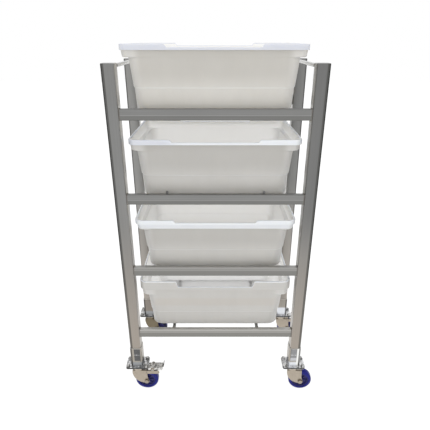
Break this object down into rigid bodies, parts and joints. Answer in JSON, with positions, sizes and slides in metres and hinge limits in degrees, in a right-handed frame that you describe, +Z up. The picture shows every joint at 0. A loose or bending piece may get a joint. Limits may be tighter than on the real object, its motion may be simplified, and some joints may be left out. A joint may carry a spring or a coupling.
{
  "type": "lug cart",
  "caption": "Tall welded lug cart on swivel casters, with plastic lugs stacked one above another on rods between open square posts.",
  "frame": {"origin": "on the floor, below the middle of the whole object's box (the casters trail to one side, so the welded frame's middle is 33.5 mm to -X of it)", "axes": "+Z up, the front faces -Y, +X along the crossbars to the viewer's right"},
  "size_m": [0.843, 0.423, 1.4263],
  "materials": {
    "brushed_steel_post": "brushed along the post",
    "brushed_steel_bar": "brushed along the bar",
    "polished_rod": "polished",
    "polished_foot": "polished stainless",
    "plated_caster_steel": "bright plating",
    "pressed_fork_steel": "satin, warm tint",
    "bolt_steel": "satin",
    "white_polyethylene": "translucent white, smooth",
    "blue_tread": "smooth blue",
    "navy_hub": "dark blue"
  },
  "bodies": {
    "frame": {"post_front_left": "brushed_steel_post", "post_cap_front_left": "brushed_steel_post", "foot_front_left": "polished_foot", "caster_plate_front_left": "plated_caster_steel", "post_front_right": "brushed_steel_post", "post_cap_front_right": "brushed_steel_post", "foot_front_right": "polished_foot", "caster_plate_front_right": "plated_caster_steel", "post_rear_left": "brushed_steel_post", "post_cap_rear_left": "brushed_steel_post", "foot_rear_left": "polished_foot", "caster_plate_rear_left": "plated_caster_steel", "post_rear_right": "brushed_steel_post", "post_cap_rear_right": "brushed_steel_post", "foot_rear_right": "polished_foot", "caster_plate_rear_right": "plated_caster_steel", "crossbar_front_1": "brushed_steel_bar", "crossbar_rear_1": "brushed_steel_bar", "support_rod_1_left": "polished_rod", "support_rod_1_right": "polished_rod", "crossbar_front_2": "brushed_steel_bar", "crossbar_rear_2": "brushed_steel_bar", "support_rod_2_left": "polished_rod", "support_rod_2_right": "polished_rod", "crossbar_front_3": "brushed_steel_bar", "crossbar_rear_3": "brushed_steel_bar", "support_rod_3_left": "polished_rod", "support_rod_3_right": "polished_rod", "crossbar_front_4": "brushed_steel_bar", "crossbar_rear_4": "brushed_steel_bar", "support_rod_4_left": "polished_rod", "support_rod_4_right": "polished_rod", "top_rod_left": "polished_rod", "stop_stud_left": "polished_rod", "top_rod_right": "polished_rod", "stop_stud_right": "polished_rod"},
    "lug_1": {"lug_1": "white_polyethylene"},
    "lug_2": {"lug_2": "white_polyethylene"},
    "lug_3": {"lug_3": "white_polyethylene"},
    "lug_4": {"lug_4": "white_polyethylene"},
    "swivel_front_left": {"caster_fork_front_left": "pressed_fork_steel", "axle_bolt_front_left": "bolt_steel"},
    "wheel_front_left": {"wheel_tread_front_left": "blue_tread", "wheel_hub_front_left": "navy_hub"},
    "pedal_front_left": {"brake_pedal_front_left": "plated_caster_steel"},
    "swivel_front_right": {"caster_fork_front_right": "pressed_fork_steel", "axle_bolt_front_right": "bolt_steel"},
    "wheel_front_right": {"wheel_tread_front_right": "blue_tread", "wheel_hub_front_right": "navy_hub"},
    "swivel_rear_left": {"caster_fork_rear_left": "pressed_fork_steel", "axle_bolt_rear_left": "bolt_steel"},
    "wheel_rear_left": {"wheel_tread_rear_left": "blue_tread", "wheel_hub_rear_left": "navy_hub"},
    "swivel_rear_right": {"caster_fork_rear_right": "pressed_fork_steel", "axle_bolt_rear_right": "bolt_steel"},
    "wheel_rear_right": {"wheel_tread_rear_right": "blue_tread", "wheel_hub_rear_right": "navy_hub"},
    "pedal_rear_right": {"brake_pedal_rear_right": "plated_caster_steel"}
  },
  "joints": [
    {"name": "lug_1_lift", "type": "slide", "parent": "frame", "child": "lug_1", "axis": [0, 0, 1], "range_m": [0, 0.25]},
    {"name": "lug_2_lift", "type": "slide", "parent": "frame", "child": "lug_2", "axis": [0, 0, 1], "range_m": [0, 0.05]},
    {"name": "lug_3_lift", "type": "slide", "parent": "frame", "child": "lug_3", "axis": [0, 0, 1], "range_m": [0, 0.05]},
    {"name": "lug_4_slide", "type": "slide", "parent": "frame", "child": "lug_4", "axis": [0, -1, 0], "range_m": [0, 0.3]},
    {"name": "swivel_front_left_turn", "type": "hinge", "parent": "frame", "child": "swivel_front_left", "pos_m": [-0.3735, -0.17747, 0.119], "axis": [0, 0, 1], "continuous": true},
    {"name": "wheel_front_left_spin", "type": "hinge", "parent": "swivel_front_left", "child": "wheel_front_left", "pos_m": [-0.3375, -0.17747, 0.05], "axis": [0, 1, 0], "continuous": true},
    {"name": "pedal_front_left_press", "type": "hinge", "parent": "swivel_front_left", "child": "pedal_front_left", "pos_m": [-0.3095, -0.17747, 0.114], "axis": [0, 1, 0], "range_deg": [0, 12]},
    {"name": "swivel_front_right_turn", "type": "hinge", "parent": "frame", "child": "swivel_front_right", "pos_m": [0.3065, -0.17747, 0.119], "axis": [0, 0, 1], "continuous": true},
    {"name": "wheel_front_right_spin", "type": "hinge", "parent": "swivel_front_right", "child": "wheel_front_right", "pos_m": [0.34241, -0.17998, 0.05], "axis": [0.0698, 0.9976, 0], "continuous": true},
    {"name": "swivel_rear_left_turn", "type": "hinge", "parent": "frame", "child": "swivel_rear_left", "pos_m": [-0.3735, 0.17747, 0.119], "axis": [0, 0, 1], "continuous": true},
    {"name": "wheel_rear_left_spin", "type": "hinge", "parent": "swivel_rear_left", "child": "wheel_rear_left", "pos_m": [-0.3375, 0.17747, 0.05], "axis": [0, 1, 0], "continuous": true},
    {"name": "swivel_rear_right_turn", "type": "hinge", "parent": "frame", "child": "swivel_rear_right", "pos_m": [0.3065, 0.17747, 0.119], "axis": [0, 0, 1], "continuous": true},
    {"name": "wheel_rear_right_spin", "type": "hinge", "parent": "swivel_rear_right", "child": "wheel_rear_right", "pos_m": [0.3425, 0.17747, 0.05], "axis": [0, 1, 0], "continuous": true},
    {"name": "pedal_rear_right_press", "type": "hinge", "parent": "swivel_rear_right", "child": "pedal_rear_right", "pos_m": [0.3705, 0.17747, 0.114], "axis": [0, 1, 0], "range_deg": [0, 12]}
  ]
}
